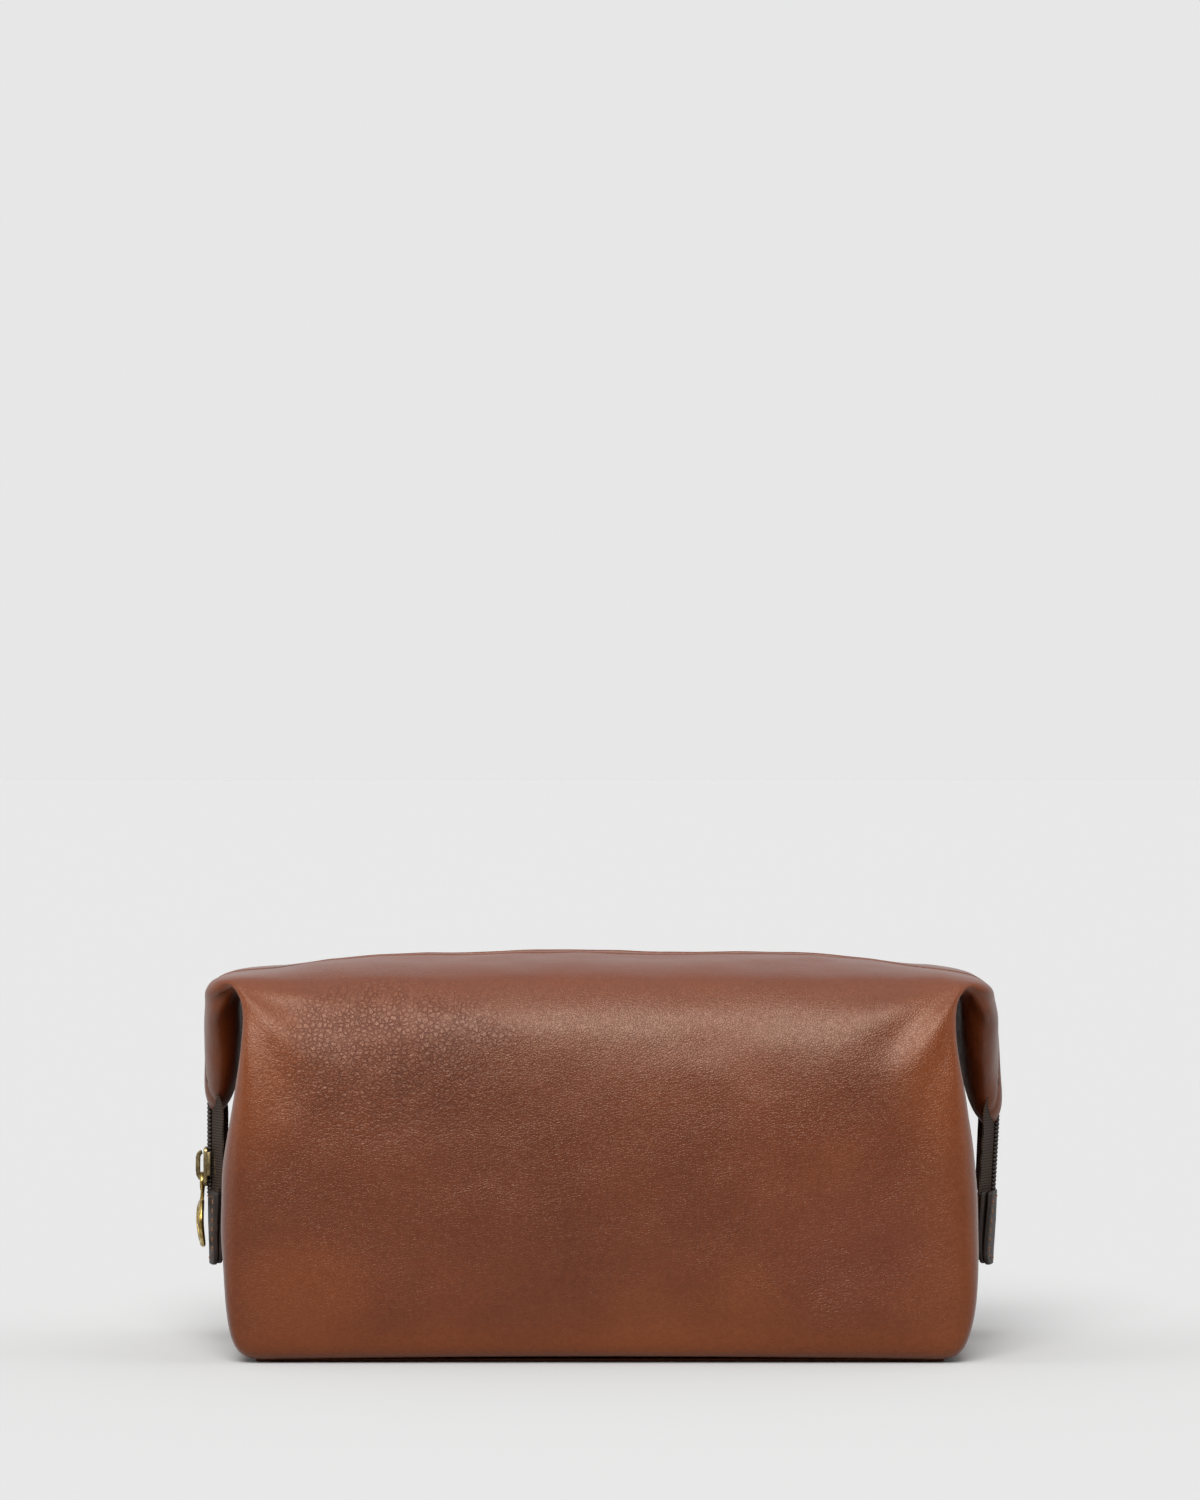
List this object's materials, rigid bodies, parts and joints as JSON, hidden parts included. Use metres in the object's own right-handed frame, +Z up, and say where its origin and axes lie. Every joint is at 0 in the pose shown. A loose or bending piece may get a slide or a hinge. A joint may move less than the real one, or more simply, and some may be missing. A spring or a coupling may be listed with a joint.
{
  "type": "shaving kit bag",
  "caption": "Soft boxy leather wash bag with a full-length top zip whose ends fold down over the end walls, leather end tabs and a brass ring puller.",
  "frame": {"origin": "centre of the base panel's underside, on the surface the bag stands on", "axes": "+X along the zip to the bag's right (the slider is at -X), -Y the front face, +Z up"},
  "size_m": [0.2886, 0.13, 0.1433],
  "materials": {
    "leather": "waxed full-grain leather, semi-matte, lightly pebbled, chestnut with paler worn areas",
    "tab_leather": "dark brown bridle leather, smooth, semi-matte",
    "lining": "olive-brown cotton twill",
    "board": "stiff grey-brown fibreboard",
    "zip_tape": "woven dark brown zip tape",
    "zip_coil": "dark brown nylon coil, slight sheen",
    "thread": "waxed dark brown thread",
    "antique_brass": "antique brass, dark in the recesses",
    "brass": "worn polished brass"
  },
  "bodies": {
    "bag_body": {"base_panel": "leather", "base_stiffener": "board", "base_lining": "lining", "front_panel": "leather", "front_lining": "lining", "back_panel": "leather", "back_lining": "lining"},
    "front_lip": {"front_top_panel": "leather", "front_top_lining": "lining", "front_zip_tape_top": "zip_tape", "front_zip_coil_top": "zip_coil", "front_topstitch": "thread"},
    "back_lip": {"back_top_panel": "leather", "back_top_lining": "lining", "back_zip_tape_top": "zip_tape", "back_zip_coil_top": "zip_coil", "back_topstitch": "thread"},
    "left_ear": {"left_ear_gusset": "leather", "left_ear_tape_front": "zip_tape", "left_ear_coil_front": "zip_coil", "left_ear_stitch_front": "thread", "left_ear_tape_back": "zip_tape", "left_ear_coil_back": "zip_coil", "left_ear_stitch_back": "thread", "left_ear_front": "leather", "left_ear_back": "leather"},
    "right_ear": {"right_ear_gusset": "leather", "right_ear_tape_front": "zip_tape", "right_ear_coil_front": "zip_coil", "right_ear_stitch_front": "thread", "right_ear_tape_back": "zip_tape", "right_ear_coil_back": "zip_coil", "right_ear_stitch_back": "thread", "right_ear_front": "leather", "right_ear_back": "leather"},
    "left_tab": {"left_tab_tape_end": "zip_tape", "left_tab_inner": "tab_leather", "left_tab_outer": "tab_leather", "left_tab_stitching": "thread"},
    "right_tail": {"right_tail_tape_front": "zip_tape", "right_tail_coil_front": "zip_coil", "right_tail_tape_back": "zip_tape", "right_tail_coil_back": "zip_coil", "right_tab_inner": "tab_leather", "right_tab_outer": "tab_leather", "right_tab_stitching": "thread"},
    "zip_slider": {"slider_body": "antique_brass", "slider_crown": "antique_brass"},
    "puller": {"ring_puller": "brass"}
  },
  "joints": [
    {"name": "front_lip_open", "type": "hinge", "parent": "bag_body", "child": "front_lip", "pos_m": [0, -0.05, 0.13274], "axis": [1, 0, 0], "range_deg": [0, 80]},
    {"name": "back_lip_open", "type": "hinge", "parent": "bag_body", "child": "back_lip", "pos_m": [0, 0.05, 0.13274], "axis": [-1, 0, 0], "range_deg": [0, 80]},
    {"name": "left_ear_fold", "type": "hinge", "parent": "bag_body", "child": "left_ear", "pos_m": [-0.131, 0, 0.1345], "axis": [0, 1, 0], "range_deg": [0, 90]},
    {"name": "right_ear_fold", "type": "hinge", "parent": "bag_body", "child": "right_ear", "pos_m": [0.131, 0, 0.1345], "axis": [0, -1, 0], "range_deg": [0, 90]},
    {"name": "slider_travel", "type": "slide", "parent": "left_ear", "child": "zip_slider", "axis": [0, 0, 1], "range_m": [0, 0.045]},
    {"name": "puller_swing", "type": "hinge", "parent": "zip_slider", "child": "puller", "pos_m": [-0.1438, 0, 0.06235], "axis": [0, 1, 0], "range_deg": [0, 130]},
    {"name": "left_tab_swing", "type": "hinge", "parent": "left_ear", "child": "left_tab", "pos_m": [-0.139, 0, 0.05695], "axis": [0, 1, 0], "range_deg": [-4, 2]},
    {"name": "right_tail_swing", "type": "hinge", "parent": "right_ear", "child": "right_tail", "pos_m": [0.139, 0, 0.0879], "axis": [0, -1, 0], "range_deg": [-1, 60]}
  ]
}
